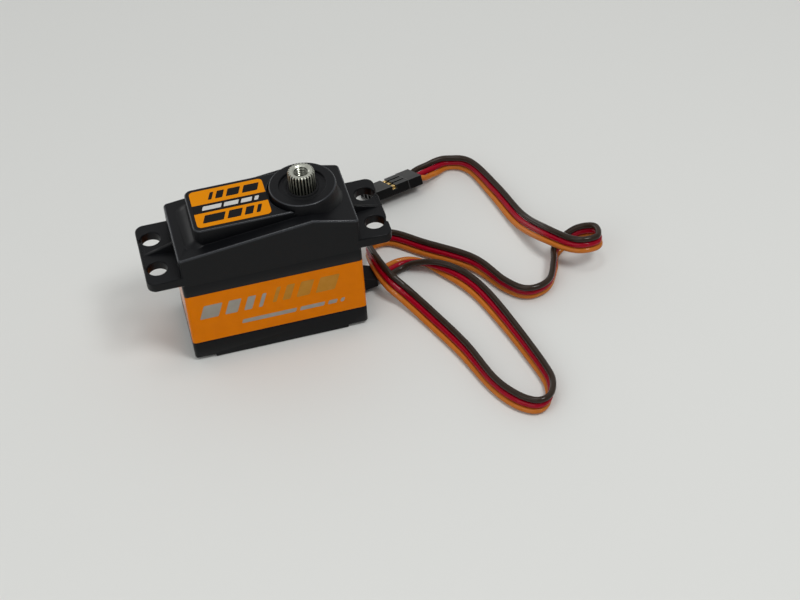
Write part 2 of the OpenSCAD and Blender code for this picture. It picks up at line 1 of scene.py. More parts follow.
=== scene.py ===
"""Looks of a standard-size servo motor: its black moulded case, orange labels, splined steel
shaft, three-wire lead and connector, and the gears, bearings and motor inside."""

import json
import math

import bmesh
import bpy
from mathutils import Matrix, Vector


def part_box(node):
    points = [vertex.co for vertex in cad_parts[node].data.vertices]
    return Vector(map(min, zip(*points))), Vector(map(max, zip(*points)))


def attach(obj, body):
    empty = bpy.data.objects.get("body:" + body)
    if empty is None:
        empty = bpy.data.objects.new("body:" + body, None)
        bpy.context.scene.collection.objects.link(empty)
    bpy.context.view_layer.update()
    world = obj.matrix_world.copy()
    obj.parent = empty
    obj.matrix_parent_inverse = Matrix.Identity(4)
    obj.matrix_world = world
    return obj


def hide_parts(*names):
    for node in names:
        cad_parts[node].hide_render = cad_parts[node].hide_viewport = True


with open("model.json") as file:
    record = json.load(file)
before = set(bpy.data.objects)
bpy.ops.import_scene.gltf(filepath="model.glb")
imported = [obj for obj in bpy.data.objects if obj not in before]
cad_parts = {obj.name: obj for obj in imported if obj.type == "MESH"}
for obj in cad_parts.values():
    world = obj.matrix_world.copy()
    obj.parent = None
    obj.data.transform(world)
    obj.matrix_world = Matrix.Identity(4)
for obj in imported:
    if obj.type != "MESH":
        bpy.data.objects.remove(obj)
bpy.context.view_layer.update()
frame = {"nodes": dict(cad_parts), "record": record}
MM = 0.001


# ---- Sizes that pieces share, in millimetres and degrees ----

def corners(node):
    """Lowest and highest corners of a CAD node, in millimetres."""
    return [[round(c / MM, 3) for c in corner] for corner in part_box(node)]


joints = {joint["name"]: joint for joint in frame["record"]["behaviour"]["joints"]}
OUT_X = round(joints["output_turn"]["pos_m"][0] / MM, 3)
CASE_END, CASE_SIDE, SEAM = corners("middle_case")[1]
TAB_END, _, BOSS_TOP = corners("top_cover")[1]
DECK_TOP = corners("top_label")[0][2]
(_, _, WRAP_LOW), (_, WRAP_STOP, WRAP_HIGH) = corners("wrap_label")
SHAFT_TOP = corners("output_shaft")[1][2]
ROOF_LEFT, ROOF_RIDGE, ROOF_RIGHT = 30.4, 33.9, 31.3
FILM = 0.08
FILM_OUT = 0.02  # how far the label around the case stands out of it
WIRE = 1.45
WAY_PITCH = 2.54
PLUG_TURN, PLUG_LEAN = 14, 24
PLUG = (
    Matrix.Translation((43.2, 33.6, 2.708))
    @ Matrix.Rotation(math.radians(PLUG_TURN), 4, "Z")
    @ Matrix.Rotation(math.radians(-PLUG_LEAN), 4, "X")
)


# ---- Camera ----

def place_camera():
    """Looks down on the front of the servo, a little from its left."""
    place = (-0.03134, -0.29566, 0.28685)
    turn, tilt, roll = -11.714, 45.972, -4.31
    eye = bpy.data.objects.new("camera", bpy.data.cameras.new("camera"))
    eye.data.lens, eye.data.sensor_width = 79.82, 36
    eye.data.clip_start, eye.data.clip_end = 0.01, 10
    eye.matrix_world = (
        Matrix.Translation(place)
        @ Matrix.Rotation(math.radians(turn), 4, "Z")
        @ Matrix.Rotation(math.radians(tilt), 4, "X")
        @ Matrix.Rotation(math.radians(roll), 4, "Z")
    )
    bpy.context.scene.collection.objects.link(eye)
    bpy.context.scene.camera = eye


place_camera()


# ---- Material helpers ----

def srgb(code):
    """A hex colour as linear red, green, blue and alpha."""
    parts = [int(code[i : i + 2], 16) / 255 for i in (1, 3, 5)]
    return [c / 12.92 if c <= 0.04045 else ((c + 0.055) / 1.055) ** 2.4 for c in parts] + [1]


def per(size):
    """Texture scale at which a pattern repeats every size millimetres."""
    return 1 / (size * MM)


def new_finish(name):
    finish = bpy.data.materials.new(name)
    finish.use_nodes = True
    finish.node_tree.nodes.clear()
    return finish, finish.node_tree


def add(tree, kind, inputs=(), **settings):
    """Adds a node with its settings; inputs gives its sockets a value or a link."""
    node = tree.nodes.new(kind)
    for key, value in settings.items():
        setattr(node, key, value)
    for key, value in dict(inputs).items():
        if isinstance(value, bpy.types.NodeSocket):
            tree.links.new(value, node.inputs[key])
        else:
            node.inputs[key].default_value = value
    return node


# ---- Finishes ----

def moulded(name, dark="#08090B", light="#0E0F12", rough=(0.34, 0.44), sheen=0.17):
    # Plastic or rubber from a lightly eroded mould: one soft colour with a faint grey bloom in
    # patches of 6 mm and a fine even grain. The grain is drawn at 0.4 mm, coarser than life,
    # so that it shows.
    finish, tree = new_finish(name)
    place = add(tree, "ShaderNodeTexCoord").outputs["Object"]
    bloom = add(tree, "ShaderNodeTexNoise", {"Vector": place, "Scale": per(6), "Detail": 5})
    fine = add(tree, "ShaderNodeTexNoise", {"Vector": place, "Scale": per(0.4), "Detail": 3})
    tone = add(tree, "ShaderNodeMix", {0: bloom.outputs[0], 6: srgb(dark), 7: srgb(light)},
               data_type="RGBA")
    gloss = add(tree, "ShaderNodeMapRange", {"Value": bloom.outputs[0], "From Min": 0.3,
                "From Max": 0.7, "To Min": rough[0], "To Max": rough[1]})
    bump = add(tree, "ShaderNodeBump", {"Height": fine.outputs[0], "Strength": 0.3,
               "Distance": 0.00005})
    skin = add(tree, "ShaderNodeBsdfPrincipled", {"Base Color": tone.outputs[2],
               "Roughness": gloss.outputs[0], "Normal": bump.outputs[0],
               "Specular IOR Level": sheen})
    add(tree, "ShaderNodeOutputMaterial", {"Surface": skin.outputs[0]})
    return finish


def printed_film(name, dark, light):
    # Screen-printed polyester film: flat strong ink, satin, with a slight mottle every 2.5 mm
    # where the ink lies thicker and the film is handled.
    finish, tree = new_finish(name)
    place = add(tree, "ShaderNodeTexCoord").outputs["Object"]
    mottle = add(tree, "ShaderNodeTexNoise", {"Vector": place, "Scale": per(2.5), "Detail": 4})
    tone = add(tree, "ShaderNodeMix", {0: mottle.outputs[0], 6: srgb(dark), 7: srgb(light)},
               data_type="RGBA")
    gloss = add(tree, "ShaderNodeMapRange", {"Value": mottle.outputs[0], "From Min": 0.3,
                "From Max": 0.7, "To Min": 0.08, "To Max": 0.16})
    bump = add(tree, "ShaderNodeBump", {"Height": mottle.outputs[0], "Strength": 0.15,
               "Distance": 0.00003})
    skin = add(tree, "ShaderNodeBsdfPrincipled", {"Base Color": tone.outputs[2],
               "Roughness": gloss.outputs[0], "Normal": bump.outputs[0],
               "Specular IOR Level": 0.06})
    add(tree, "ShaderNodeOutputMaterial", {"Surface": skin.outputs[0]})
    return finish


def worked_metal(name, dark, light, rough=(0.25, 0.4), scratch=0.15):
    # Machined metal: fine marks of the tool, as wide as the scratch and twelve times as tall,
    # which break up its reflection. They are drawn coarser than life so that they show.
    finish, tree = new_finish(name)
    place = add(tree, "ShaderNodeTexCoord").outputs["Object"]
    drawn = add(tree, "ShaderNodeMapping", {"Vector": place, "Scale": (1, 1, 1 / 12)})
    marks = add(tree, "ShaderNodeTexNoise", {"Vector": drawn.outputs[0], "Scale": per(scratch),
                "Detail": 2})
    tone = add(tree, "ShaderNodeMix", {0: marks.outputs[0], 6: srgb(dark), 7: srgb(light)},
               data_type="RGBA")
    gloss = add(tree, "ShaderNodeMapRange", {"Value": marks.outputs[0], "From Min": 0.3,
                "From Max": 0.7, "To Min": rough[0], "To Max": rough[1]})
    bump = add(tree, "ShaderNodeBump", {"Height": marks.outputs[0], "Strength": 0.2,
               "Distance": 0.00002})
    skin = add(tree, "ShaderNodeBsdfPrincipled", {"Base Color": tone.outputs[2], "Metallic": 1,
               "Roughness": gloss.outputs[0], "Normal": bump.outputs[0]})
    add(tree, "ShaderNodeOutputMaterial", {"Surface": skin.outputs[0]})
    return finish


def wire_skin(name, dark, light):
    # Extruded soft insulation: smooth and slightly glossy, with faint streaks every 3 mm and
    # a slight unevenness.
    finish, tree = new_finish(name)
    place = add(tree, "ShaderNodeTexCoord").outputs["Object"]
    streak = add(tree, "ShaderNodeTexNoise", {"Vector": place, "Scale": per(3), "Detail": 4})
    tone = add(tree, "ShaderNodeMix", {0: streak.outputs[0], 6: srgb(dark), 7: srgb(light)},
               data_type="RGBA")
    bump = add(tree, "ShaderNodeBump", {"Height": streak.outputs[0], "Strength": 0.2,
               "Distance": 0.0001})
    skin = add(tree, "ShaderNodeBsdfPrincipled", {"Base Color": tone.outputs[2],
               "Roughness": 0.1, "Normal": bump.outputs[0], "Specular IOR Level": 0.2})
    add(tree, "ShaderNodeOutputMaterial", {"Surface": skin.outputs[0]})
    return finish


# Case, connector and boot: near black; edges rubbed glossier by handling, painted paler as a
# highlight
case_black = moulded("glass-filled nylon, moulded")
# Edge finish: glossier from wear, and painted paler grey as a highlight along the case's rims
rubbed_and_highlit_black = moulded("glass-filled nylon, rubbed edges, painted highlight", "#1A1C1F", "#303338", (0.22, 0.3),
                       0.45)
plug_black = moulded("polypropylene, moulded", "#060707", "#0B0C0C", (0.32, 0.42), 0.2)
# Connector edge finish: glossier from wear, and painted paler grey as a highlight
plug_edge_wear_and_highlight = moulded("polypropylene, rubbed edges, painted highlight", "#3A3B3B", "#4C4D4C", (0.3, 0.4), 0.5)
boot_rubber = moulded("nitrile rubber, moulded", "#0F0F10", "#18181A", (0.55, 0.7))

# Labels: one film on the deck and a slightly redder one around the case, with printed inks
orange_film = printed_film("polyester film, orange ink", "#D27F00", "#DE8900")
deep_film = printed_film("polyester film, deep orange ink", "#D87200", "#E67F00")
black_ink = printed_film("polyester film, black ink", "#151515", "#1D1D1D")
white_ink = printed_film("polyester film, white ink", "#B9B9B6", "#CDCDCA")
gold_ink = printed_film("polyester film, gold ink", "#B07420", "#C68E3A")
silver_ink = printed_film("polyester film, silver ink", "#8F8A80", "#A7A298")

# Output shaft: warm grey, with a painted highlight on its turned top and painted shade in gaps and
# bore
shaft_grey = worked_metal("titanium, hobbed", "#A6A89B", "#CBCDBF", (0.4, 0.52))
shaft_painted_highlight = worked_metal("titanium, bright cut, painted highlight", "#B4B6AA", "#D2D4C9", (0.26, 0.38))
shaft_bore_painted_shade = worked_metal("titanium, tapped, painted shade", "#6E7067", "#8C8E84", (0.16, 0.24))
shaft_gap_painted_shade = worked_metal("titanium, tooth gaps, painted shade", "#2F302B", "#45463F", (0.4, 0.5))

# Metals and resins inside the case
screw_steel = worked_metal("steel, zinc plated", "#9A9A98", "#B9B9B6")
ground_steel = worked_metal("bearing steel, ground", "#A5A5A3", "#C4C4C1", (0.12, 0.22))
drawn_steel = worked_metal("steel can, deep drawn", "#8E8E90", "#ABABAD", (0.25, 0.4))
gear_brass = worked_metal("brass, hobbed", "#B8964C", "#D6B566", (0.25, 0.38))
coil_copper = worked_metal("copper wire, enamelled", "#8F4A20", "#B5652E", (0.3, 0.42), 0.12)
plated_gold = worked_metal("phosphor bronze, gold plated", "#C9A45A", "#E2C27C", (0.2, 0.3))
magnet_nickel = worked_metal("sintered magnet, nickel plated", "#5A5A5E", "#74747A")
chip_resin = moulded("epoxy resin, moulded", "#121214", "#1B1B1E", (0.5, 0.6))
blue_resin = moulded("phenolic resin, moulded", "#26405E", "#30507A", (0.4, 0.5))
board_green = moulded("glass laminate, solder mask", "#08401F", "#0E5A2E", (0.25, 0.35))

# Lead: one colour a wire
brown_skin = wire_skin("soft insulation, brown", "#2A2019", "#372C24")
red_skin = wire_skin("soft insulation, red", "#88001A", "#A00322")
orange_skin = wire_skin("soft insulation, orange", "#B3641E", "#C6752C")


# ---- Modelling helpers: shapes are in millimetres until finished() scales them ----

def made(bm, name="tool"):
    """Puts a bmesh in the scene as an object with its faces pointing out."""
    bmesh.ops.remove_doubles(bm, verts=bm.verts, dist=0.0005)
    bmesh.ops.recalc_face_normals(bm, faces=bm.faces)
    mesh = bpy.data.meshes.new(name)
    bm.to_mesh(mesh)
    bm.free()
    item = bpy.data.objects.new(name, mesh)
    bpy.context.scene.collection.objects.link(item)
    return item


def only(kind, parts):
    """The parts of one kind, such as vertices, out of what an operator gives back."""
    return [part for part in parts if isinstance(part, kind)]


def opened(item):
    """A bmesh of an object's shape; the object is removed."""
    bm = bmesh.new()
    bm.from_mesh(item.data)
    bpy.data.objects.remove(item)
    return bm


def shaded(item, angle=35):
    """Smooth shading that keeps flat faces flat beside rounded edges."""
    item.data.shade_smooth()
    item.data.set_sharp_from_angle(angle=math.radians(angle))
    weigh = item.modifiers.new("weigh", "WEIGHTED_NORMAL")
    weigh.keep_sharp = True
    return settle(item)


def settle(item):
    """Applies an object's modifiers to its mesh."""
    graph = bpy.context.evaluated_depsgraph_get()
    mesh = bpy.data.meshes.new_from_object(item.evaluated_get(graph))
    item.modifiers.clear()
    item.data = mesh
    return item


def combine(item, others, operation):
    """Adds other shapes to a shape or cuts them out of it; the others are removed."""
    for other in others:
        step = item.modifiers.new("combine", "BOOLEAN")
        step.object, step.operation, step.solver = other, operation, "EXACT"
    settle(item)
    for other in others:
        bpy.data.objects.remove(other)
    return item


def cut(item, *tools):
    return combine(item, tools, "DIFFERENCE")


def fuse(item, *others):
    return combine(item, others, "UNION")


def ease(item, width, steps=2, angle=32):
    """Rounds every edge that is sharper than the angle, in a second material if there is one."""
    bevel = item.modifiers.new("ease", "BEVEL")
    bevel.width, bevel.segments = width, steps
    bevel.limit_method, bevel.angle_limit = "ANGLE", math.radians(angle)
    bevel.use_clamp_overlap = False
    bevel.harden_normals = True
    bevel.material = 1 if len(item.data.materials) > 1 else -1
    item.data.shade_smooth()
    return settle(item)


def add_box(bm, low, high):
    """Adds a box between two corners to a bmesh."""
    cube = bmesh.ops.create_cube(bm, size=1)["verts"]
    bmesh.ops.scale(bm, vec=[h - l for l, h in zip(low, high)], verts=cube)
    bmesh.ops.translate(bm, vec=[(l + h) / 2 for l, h in zip(low, high)], verts=cube)


def box(low, high):
    bm = bmesh.new()
    add_box(bm, low, high)
    return made(bm)


def upright(edges):
    """The edges that run up and down."""
    return [e for e in edges if abs(e.verts[0].co.z - e.verts[1].co.z) > 0.01]


def round_off(bm, edges, radius, segments, finish=-1):
    """Rounds edges of a bmesh; finish is the material of the round, -1 for its neighbours'."""
    bmesh.ops.bevel(bm, geom=edges, offset=radius, segments=segments, profile=0.5,
                    affect="EDGES", material=finish)


def lathe(profile, steps=128):
    """Spins a closed profile of radius and height around the output shaft's axis."""
    axis = (OUT_X, 0, 0)
    bm = bmesh.new()
    line = [bm.verts.new((OUT_X + r, 0, z)) for r, z in profile]
    edges = [bm.edges.new((a, b)) for a, b in zip(line, line[1:] + line[:1])
             if max(a.co.x, b.co.x) > OUT_X]
    bmesh.ops.spin(bm, geom=line + edges, cent=axis, axis=(0, 0, 1), angle=math.tau,
                   steps=steps, use_merge=True)
    # A little turn keeps its edges off other shapes' middle planes, where cuts go wrong
    bmesh.ops.rotate(bm, cent=axis, matrix=Matrix.Rotation(math.radians(1), 3, "Z"),
                     verts=bm.verts)
    return made(bm)


def bar(x, y, radius, low, high, steps=64):
    """Upright cylinder, turned a little as lathe() turns its shapes."""
    bm = bmesh.new()
    middle = Matrix.Translation((x, y, (low + high) / 2))
    place = middle @ Matrix.Rotation(math.radians(1), 4, "Z")
    bmesh.ops.create_cone(bm, cap_ends=True, segments=steps, radius1=radius, radius2=radius,
                          depth=high - low, matrix=place)
    return made(bm)


def side_slab(outline, half_width):
    """Pushes a side view of X and Z through the width of the case."""
    bm = bmesh.new()
    face = bm.faces.new([bm.verts.new((x, -half_width, z)) for x, z in outline])
    moved = bmesh.ops.extrude_face_region(bm, geom=[face])["geom"]
    bmesh.ops.translate(bm, vec=(0, 2 * half_width, 0), verts=only(bmesh.types.BMVert, moved))
    return made(bm)


def finished(item, name, replaces=None, body="case"):
    """Names a shape, scales it to metres, puts it on its body and hides the CAD node that it
    replaces.
    """
    item.name = item.data.name = name
    item.data.transform(Matrix.Scale(MM, 4))
    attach(item, body)
    if replaces:
        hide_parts(replaces)
    return item


def with_finishes(item, *materials):
    """Adds finishes to a shape; its faces refer to them by their place in this list."""
    for material in materials:
        item.data.materials.append(material)
    return item


def eased_copy(node, name, width, finish):
    """Makes the piece that replaces a CAD node: the same shape with its sharp edges eased."""
    bm = bmesh.new()
    bm.from_mesh(frame["nodes"][node].data)
    bmesh.ops.scale(bm, vec=(1 / MM,) * 3, verts=bm.verts)
    bmesh.ops.remove_doubles(bm, verts=bm.verts, dist=0.0005)
    bmesh.ops.dissolve_limit(bm, angle_limit=math.radians(0.5), verts=bm.verts, edges=bm.edges)
    finished(ease(with_finishes(made(bm), finish), width), name, node)


# ---- Lead ----

# Points that the lead follows from the boot to the connector, in metres, and its turn about
# its own line in degrees: 90 lies flat, 0 stands on edge with the brown wire up.
LEAD_ROUTE = [
    (0.024, 0.002, 0.00295, 90), (0.027, 0.0035, 0.0014, 90), (0.032, 0.0055, 0.0011, 83),
    (0.036, 0.0041, 0.0019, 55), (0.0405, 0, 0.0023, -5), (0.0445, -0.005, 0.0021, -38),
    (0.0475, -0.012, 0.0019, -40), (0.0505, -0.025, 0.0022, -27),
    (0.053, -0.0385, 0.0022, -20), (0.053, -0.0435, 0.00225, -22),
    (0.0513, -0.0472, 0.00225, -10), (0.0482, -0.0481, 0.00225, 10),
    (0.0445, -0.045, 0.00225, 18), (0.0412, -0.0385, 0.0022, 18),
    (0.038, -0.0265, 0.0021, 33), (0.0333, -0.0137, 0.002, 42), (0.03, -0.0068, 0.0029, 40),
    (0.027, -0.0029, 0.0051, 32), (0.0254, 0.0028, 0.006, 20), (0.0253, 0.0095, 0.0044, 5),
    (0.0277, 0.0139, 0.0025, -8), (0.0322, 0.0139, 0.0022, -18), (0.0385, 0.0082, 0.0022, -22),
    (0.048, -0.0003, 0.0022, -18), (0.053, -0.0098, 0.00225, -2),
    (0.0573, -0.0139, 0.00225, 8), (0.0625, -0.0127, 0.00225, 8),
    (0.0658, -0.0072, 0.0023, -5), (0.068, -0.0022, 0.0024, -8), (0.0732, -0.0007, 0.0046, -5),
    (0.0771, -0.0033, 0.0066, 0), (0.0763, -0.0075, 0.0072, 10), (0.071, -0.0073, 0.0074, 13),
    (0.066, -0.0005, 0.0063, 30), (0.063, 0.0105, 0.0025, 45), (0.0605, 0.0225, 0.0022, 32),
    (0.0573, 0.0335, 0.0023, 12), (0.0525, 0.0367, 0.00225, 0), (0.0475, 0.0353, 0.0025, 60),
    (0.0432, 0.0336, 0.002708, 114)]


def lead_at(u):
    """Place and turn of the lead u points along its route, on a smooth curve through them."""
    last = len(LEAD_ROUTE) - 1
    i = min(int(u), last - 1)
    t = u - i
    a, b, c, d = (Vector(LEAD_ROUTE[min(max(k, 0), last)]) for k in range(i - 1, i + 3))
    return 0.5 * (2 * b + (c - a) * t + (2 * a - 5 * b + 4 * c - d) * t**2
                  + (3 * b - a - 3 * c + d) * t**3)


def lead_across(u):
    """Unit vector across the lead's width, from its red wire to its brown one."""
    last = len(LEAD_ROUTE) - 1
    if u <= 0:
        ahead = Vector((1, 0, 0))
    elif u >= last:
        turn = math.radians(PLUG_TURN)
        ahead = Vector((-math.cos(turn), -math.sin(turn), 0))
    else:
        ahead = (lead_at(min(u + 0.02, last)) - lead_at(max(u - 0.02, 0))).to_3d().normalized()
    side = ahead.cross((0, 0, 1)).normalized()
    turn = math.radians(lead_at(u)[3])
    return math.cos(turn) * side.cross(ahead) + math.sin(turn) * side


def wire_spread(u):
    """Distance between two wires' middles; they fan out where they enter the connector."""
    last_stretch = u - (len(LEAD_ROUTE) - 2)
    share = min(max(last_stretch / 0.9, 0), 1)
    return (WIRE + (WAY_PITCH - WIRE) * share**2 * (3 - 2 * share)) * MM


def three_wire_lead():
    """The lead as one mesh of three round wires, and the line that it follows."""
    steps = 10
    stations = [k / steps for k in range((len(LEAD_ROUTE) - 1) * steps + 1)]
    line = bpy.data.curves.new("lead", "CURVE")
    line.dimensions, line.bevel_depth, line.bevel_resolution = "3D", WIRE / 2 * MM, 4
    line.use_fill_caps = True
    for skin in (brown_skin, red_skin, orange_skin):
        line.materials.append(skin)
    for index, side in enumerate((1, 0, -1)):
        wire = line.splines.new("POLY")
        wire.points.add(len(stations) - 1)
        wire.material_index = index
        for point, u in zip(wire.points, stations):
            point.co = (*(lead_at(u).to_3d() + side * wire_spread(u) * lead_across(u)), 1)
    curve = bpy.data.objects.new("lead", line)
    bpy.context.scene.collection.objects.link(curve)
    graph = bpy.context.evaluated_depsgraph_get()
    mesh = bpy.data.meshes.new_from_object(curve.evaluated_get(graph))
    bpy.data.objects.remove(curve)
    mesh.shade_smooth()
    lead = bpy.data.objects.new("lead", mesh)
    bpy.context.scene.collection.objects.link(lead)
    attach(lead, "case")
    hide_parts("servo_lead")
    return lead, [lead_at(u).to_3d() for u in stations]


# ---- Top cover ----

def roof_height(x):
    """Height of the left roof slope at x."""
    return ROOF_LEFT + (x + CASE_END) * (ROOF_RIDGE - ROOF_LEFT) / (OUT_X + CASE_END)


def roof():
    """The cover's sloping block, with round upright corners and an eased rim."""
    bm = opened(side_slab([(-CASE_END, SEAM), (CASE_END, SEAM), (CASE_END, ROOF_RIGHT),
                           (OUT_X, ROOF_RIDGE), (-CASE_END, ROOF_LEFT)], CASE_SIDE))
    corner_edges = [e for e in upright(bm.edges) if all(abs(v.co.x) > 20 for v in e.verts)]
    round_off(bm, corner_edges, 0.8, 5)
    bm.normal_update()
    rim = [e for e in bm.edges
           if sorted(f.normal.z > 0.5 for f in e.link_faces) == [False, True]]
    # The rim's round takes the second finish, painted paler as a highlight along the roof's edge
    round_off(bm, rim, 0.4, 3, 1)
    return made(bm)


def deck():
    """Flat deck over the gears, with an eased rim and a foot that flares out to the roof."""
    left, half_width, corner, rim = -15.4, 7.15, 1.7, 0.3
    right = OUT_X + 1.5
    foot_out, end_foot_out, end_foot_up = 0.08, 2.5, 1.25
    buried = 29.5
    bm = bmesh.new()
    outline = [(left + rim, -half_width + rim), (right, -half_width + rim),
               (right, half_width - rim), (left + rim, half_width - rim)]
    face = bm.faces.new([bm.verts.new((x, y, DECK_TOP)) for x, y in outline])
    bmesh.ops.bevel(bm, geom=[v for v in face.verts if v.co.x < 0], offset=corner - rim,
                    segments=6, profile=0.5, affect="VERTICES", material=-1)
    bm.faces.ensure_lookup_table()
    ring = list(bm.faces[0].edges)
    core_x, core_y = left + corner, half_width - corner

    def next_ring(edges, spread, height, finish=0):
        """Adds a ring around the last one; end is how far a place on it faces left, 0 to 1."""
        new = bmesh.ops.extrude_edge_only(bm, edges=edges)["geom"]
        for face in only(bmesh.types.BMFace, new):
            face.material_index = finish
        for v in only(bmesh.types.BMVert, new):
            core = Vector((max(v.co.x, core_x), max(-core_y, min(core_y, v.co.y))))
            out = v.co.xy - core
            if out.length > 1e-6:
                out.normalize()
            end = max(0, -out.x)
            at = core + out * (corner + spread(end))
            v.co = (at.x, at.y, height(at.x, end))
        return only(bmesh.types.BMEdge, new)

    # The rim's rings take the second finish, painted paler as a highlight along the deck's edge
    for angle in (30, 60, 90):
        a = math.radians(angle)
        ring = next_ring(ring, lambda end: rim * (math.sin(a) - 1),
                         lambda x, end: DECK_TOP - rim * (1 - math.cos(a)), 1)
    steep = math.radians(50)
    for angle in (50, 42, 34, 26, 18, 9, 0):
        a = math.radians(angle)
        out_share = 1 - math.sin(a) / math.sin(steep)
        up_share = (1 - math.cos(a)) / (1 - math.cos(steep))
        ring = next_ring(ring, lambda end: (foot_out + end_foot_out * end) * out_share,
                         lambda x, end: roof_height(x) + (foot_out + end_foot_up * end) * up_share)
    ring = next_ring(ring, lambda end: foot_out + end_foot_out * end, lambda x, end: buried)
    bmesh.ops.contextual_create(bm, geom=ring)
    return made(bm)


def boss():
    """Round boss around the shaft: a disc with a recess, on a foot that flares to the roof."""
    foot = [(9.1, 29.5), (9.05, 31.1), (8.8, 31.5), (8.45, 32), (8.15, 32.6), (7.9, 33.2),
            (7.7, 34), (7.6, 34.7), (7.54, 35.3)]
    disc = [(7.45, 36.05), (7.41, 36.22), (7.3, 36.35), (7.15, BOSS_TOP), (5.45, BOSS_TOP),
            (5.3, 36.34), (5.2, 36.2), (5.2, 35.92), (5.1, 35.82), (4.9, 35.8)]
    recess = [(4.5, 35.8), (4.4, 35.9), (4.0, 35.9), (3.9, 35.8), (3.7, 35.8), (3.6, 35.7),
              (3.6, 34.4), (5, 34.4), (5, 29.5)]
    bm = opened(lathe(foot + disc + recess))
    # Faces of the disc's rim take the second finish, painted paler as a highlight along the rim
    for face in bm.faces:
        place = face.calc_center_median()
        reach = math.hypot(place.x - OUT_X, place.y)
        if 36.2 < place.z < BOSS_TOP - 0.01 and reach > 7:
            face.material_index = 1
    return with_finishes(made(bm), case_black, rubbed_and_highlit_black)


def tab_plate():
    """The right tab's flat plate with its two holes, each open to the edge by a slot."""
    hole_x, hole_y, hole_radius, half_slot = 24.5, 5, 2.2, 0.45
    plate = box((18.65, -CASE_SIDE, 23.2), (TAB_END, CASE_SIDE, 25.6))
    cutters = []
    for y in (-hole_y, hole_y):
        cutters += [bar(hole_x, y, hole_radius, 22, 27, 48),
                    box((hole_x, y - half_slot, 22), (28, y + half_slot, 27))]
    bm = opened(cut(plate, *cutters))
    bmesh.ops.dissolve_limit(bm, angle_limit=math.radians(0.5), verts=bm.verts, edges=bm.edges)

    def round_corners(near, far, radius, segments):
        """Rounds the corners at the tab's end that lie from near to far off its middle."""
        found = [e for e in upright(bm.edges)
                 if abs(e.verts[0].co.x - TAB_END) < 0.02 and near < abs(e.verts[0].co.y) < far]
        round_off(bm, found, radius, segments)

    round_corners(10, 11, 2, 8)
    round_corners(4, 5, 1.2, 6)
    round_corners(5, 6, 0.5, 4)
    return ease(with_finishes(made(bm), case_black), 0.3, 3, 40)


def rib():
    """Gusset between the tab's holes: a narrow crest on flanks that widen to the case."""
    narrow, wide = 0.4, 1.7
    bm = opened(side_slab([(19, 24.5), (26.9, 24.5), (26.9, 25.55), (20.05, 27.65),
                           (19, 27.65)], 1))
    for v in bm.verts:
        at_root = v.co.x < 20 and v.co.z < 25
        v.co.y *= wide if at_root else narrow
    return ease(with_finishes(made(bm), case_black), 0.2)


def mirrored(item):
    """A copy of an item on the other side of the case."""
    bm = bmesh.new()
    bm.from_mesh(item.data)
    bmesh.ops.scale(bm, vec=(-1, 1, 1), verts=bm.verts)
    return with_finishes(made(bm), *item.data.materials)


def cavity():
    """The space inside the top cover, around the columns for the case screws."""
    column_x, column_y, column_radius = 17.9, 7.85, 2.2
    space = fuse(box((-18.5, -8.6, 22), (18.5, 8.6, 28.9)),
                 box((-8.8, -8.6, 23), (18.5, 8.6, 30.1)))
    columns = [bar(x, y, column_radius, 21, 29, 32)
               for x in (-column_x, column_x) for y in (-column_y, column_y)]
    return cut(space, *columns)


def boss_groove():
    """Cutter for the groove around the boss, flared so that it eases the deck's edge."""
    bm = opened(lathe([(0, 34.3), (7.95, 34.3), (7.95, 34.95), (7.99, 35.08), (8.08, 35.17),
                       (8.2, 35.21), (8.2, 37), (0, 37)]))
    # The flare's faces take the second finish, painted paler as a highlight on the deck's edge
    for face in bm.faces:
        if 34.95 < face.calc_center_median().z < 35.21:
            face.material_index = 1
    return with_finishes(made(bm), case_black, rubbed_and_highlit_black)


def top_cover():
    """The whole cover: roof, deck and boss around the shaft's hole, and both mounting tabs."""
    shell = with_finishes(roof(), case_black, rubbed_and_highlit_black)
    right = fuse(tab_plate(), rib())
    left = mirrored(right)
    raised = cut(with_finishes(deck(), case_black, rubbed_and_highlit_black), boss_groove())
    fuse(shell, raised, right, left)
    cut(shell, bar(OUT_X, 0, 6, 29, 38))
    fuse(shell, boss())
    cut(shell, cavity())
    finished(shaded(shell), "top_shell", "top_cover")


# ---- Labels ----

def side_label():
    """Printed film around the front and both ends of the middle case."""
    bm = bmesh.new()
    outline = [(x * (CASE_END + FILM_OUT), y * (CASE_SIDE + FILM_OUT))
               for x, y in ((-1, -1), (1, -1), (1, 1), (-1, 1))]
    face = bm.faces.new([bm.verts.new((x, y, WRAP_LOW)) for x, y in outline])
    bmesh.ops.bevel(bm, geom=list(face.verts), offset=0.82, segments=6, profile=0.5,
                    affect="VERTICES", material=-1)
    bm.faces.ensure_lookup_table()
    rim = list(bm.faces[0].edges)
    bmesh.ops.delete(bm, geom=bm.faces[:], context="FACES_ONLY")
    moved = bmesh.ops.extrude_edge_only(bm, edges=rim)["geom"]
    bmesh.ops.translate(bm, vec=(0, 0, WRAP_HIGH - WRAP_LOW),
                        verts=only(bmesh.types.BMVert, moved))
    bmesh.ops.bisect_plane(bm, geom=bm.verts[:] + bm.edges[:] + bm.faces[:],
                           plane_co=(0, WRAP_STOP, 0), plane_no=(0, 1, 0), clear_outer=True)
    bmesh.ops.recalc_face_normals(bm, faces=bm.faces)
    bmesh.ops.solidify(bm, geom=bm.faces[:], thickness=FILM)
    label = with_finishes(made(bm), deep_film)
    finished(shaded(label), "side_label", "wrap_label")


def top_label():
    """Printed film on the deck."""
    middle, half_length, half_width, corner = -6.2, 8.2, 6.1, 1
    bm = opened(box((-half_length, -half_width, DECK_TOP),
                    (half_length, half_width, DECK_TOP + FILM)))
    round_off(bm, upright(bm.edges), corner, 6)
    label = with_finishes(made(bm), orange_film)
    label.data.transform(Matrix.Translation((middle, 0, 0)))
    finished(label, "top_label", "top_label")


